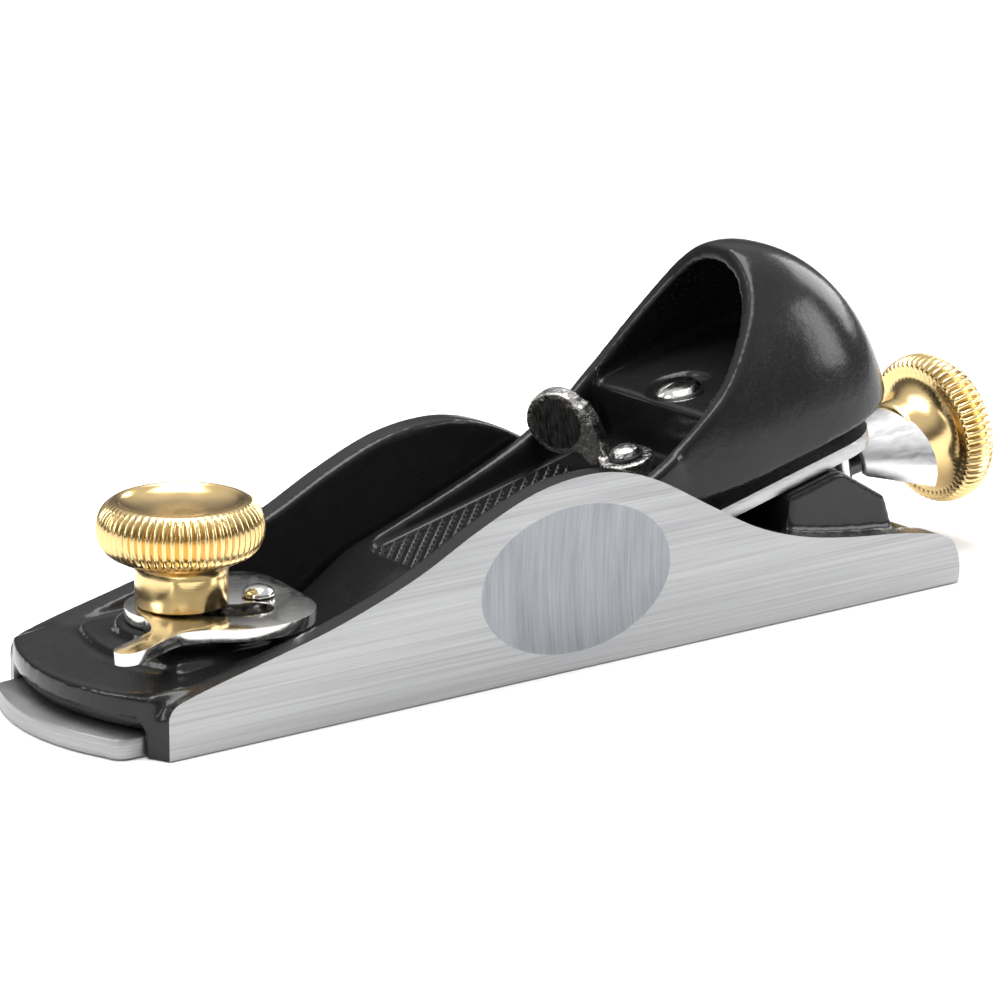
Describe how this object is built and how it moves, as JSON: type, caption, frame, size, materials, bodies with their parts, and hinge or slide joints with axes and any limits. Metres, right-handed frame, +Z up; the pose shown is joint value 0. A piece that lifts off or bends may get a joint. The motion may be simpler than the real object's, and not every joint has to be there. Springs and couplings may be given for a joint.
{
  "type": "hand plane",
  "caption": "Low-angle block plane with a hooded lever cap, sliding toe plate, brass front knob and a screw depth adjuster with a lateral lever.",
  "frame": {"origin": "on the sole, in the middle of its width, under the crest of the cheeks", "axes": "+X from toe to heel, +Y to the far cheek, +Z up from the sole"},
  "size_m": [0.188, 0.0452, 0.0591],
  "materials": {
    "body_casting": "black enamel inside, cheeks and sole ground bright",
    "lever_cap": "glossy black enamel",
    "toe_plate": "ground bright",
    "nickel": "nickel plated",
    "brass": "polished, knurled",
    "cutter": "ground tool steel",
    "steel": "machined",
    "dark_steel": "blued"
  },
  "bodies": {
    "plane_body": {"body_casting": "body_casting", "eccentric_pivot_pin": "nickel", "lever_cap": "lever_cap", "lever_cap_spring": "steel", "lateral_rivet": "steel", "lateral_washer": "steel"},
    "toe_plate": {"toe_plate": "toe_plate"},
    "front_knob": {"front_knob": "brass", "front_knob_stud": "steel"},
    "eccentric_lever": {"eccentric_lever": "nickel"},
    "cam_lever": {"cam_lever": "nickel", "cam_rivet": "steel", "cam_spring_washer": "steel"},
    "cap_screw": {"lever_cap_screw": "nickel"},
    "lateral_lever": {"lateral_lever": "nickel"},
    "spindle": {"adjuster_spindle": "dark_steel", "spindle_collar": "steel", "spindle_clip": "dark_steel", "adjuster_knob": "brass"},
    "adjuster_block": {"adjuster_block": "steel"},
    "cutter": {"cutter": "cutter"}
  },
  "joints": [
    {"name": "toe_plate_slide", "type": "slide", "parent": "plane_body", "child": "toe_plate", "axis": [1, 0, 0], "range_m": [0, 0.0024]},
    {"name": "eccentric_swing", "type": "hinge", "parent": "plane_body", "child": "eccentric_lever", "pos_m": [-0.0493, -0.0033, 0.0152], "axis": [0, 0, 1], "range_deg": [-31.3, 0]},
    {"name": "front_knob_turn", "type": "hinge", "parent": "toe_plate", "child": "front_knob", "pos_m": [-0.0613, 0, 0.0163], "axis": [0, 0, 1], "range_deg": [0, 360]},
    {"name": "cam_lever_swing", "type": "hinge", "parent": "plane_body", "child": "cam_lever", "pos_m": [0.02639, 0, 0.02486], "axis": [-0.2334, 0, 0.9724], "range_deg": [0, 100]},
    {"name": "cap_screw_turn", "type": "hinge", "parent": "plane_body", "child": "cap_screw", "pos_m": [0.0374, 0, 0.0347], "axis": [-0.2334, 0, 0.9724], "range_deg": [0, 360]},
    {"name": "lateral_swing", "type": "hinge", "parent": "plane_body", "child": "lateral_lever", "pos_m": [0.04984, 0, 0.013], "axis": [-0.1564, 0, 0.9877], "range_deg": [-3, 3]},
    {"name": "spindle_turn", "type": "hinge", "parent": "lateral_lever", "child": "spindle", "pos_m": [0.053, 0, 0.0135], "axis": [0.9877, 0, 0.1564], "range_deg": [-725, 1085]},
    {"name": "block_slide", "type": "slide", "parent": "lateral_lever", "child": "adjuster_block", "axis": [0.9877, 0, 0.1564], "range_m": [-0.0016, 0.0024]},
    {"name": "cutter_skew", "type": "hinge", "parent": "adjuster_block", "child": "cutter", "pos_m": [0.0585, 0, 0.0237], "axis": [-0.2334, 0, 0.9724], "range_deg": [-2.7, 2.7]}
  ],
  "couplings": [
    {"joint": "eccentric_swing", "follows": "toe_plate_slide", "rad_per_m": -226.89},
    {"joint": "spindle_turn", "follows": "block_slide", "rad_per_m": 7854},
    {"joint": "cutter_skew", "follows": "lateral_swing", "ratio": -0.875}
  ]
}
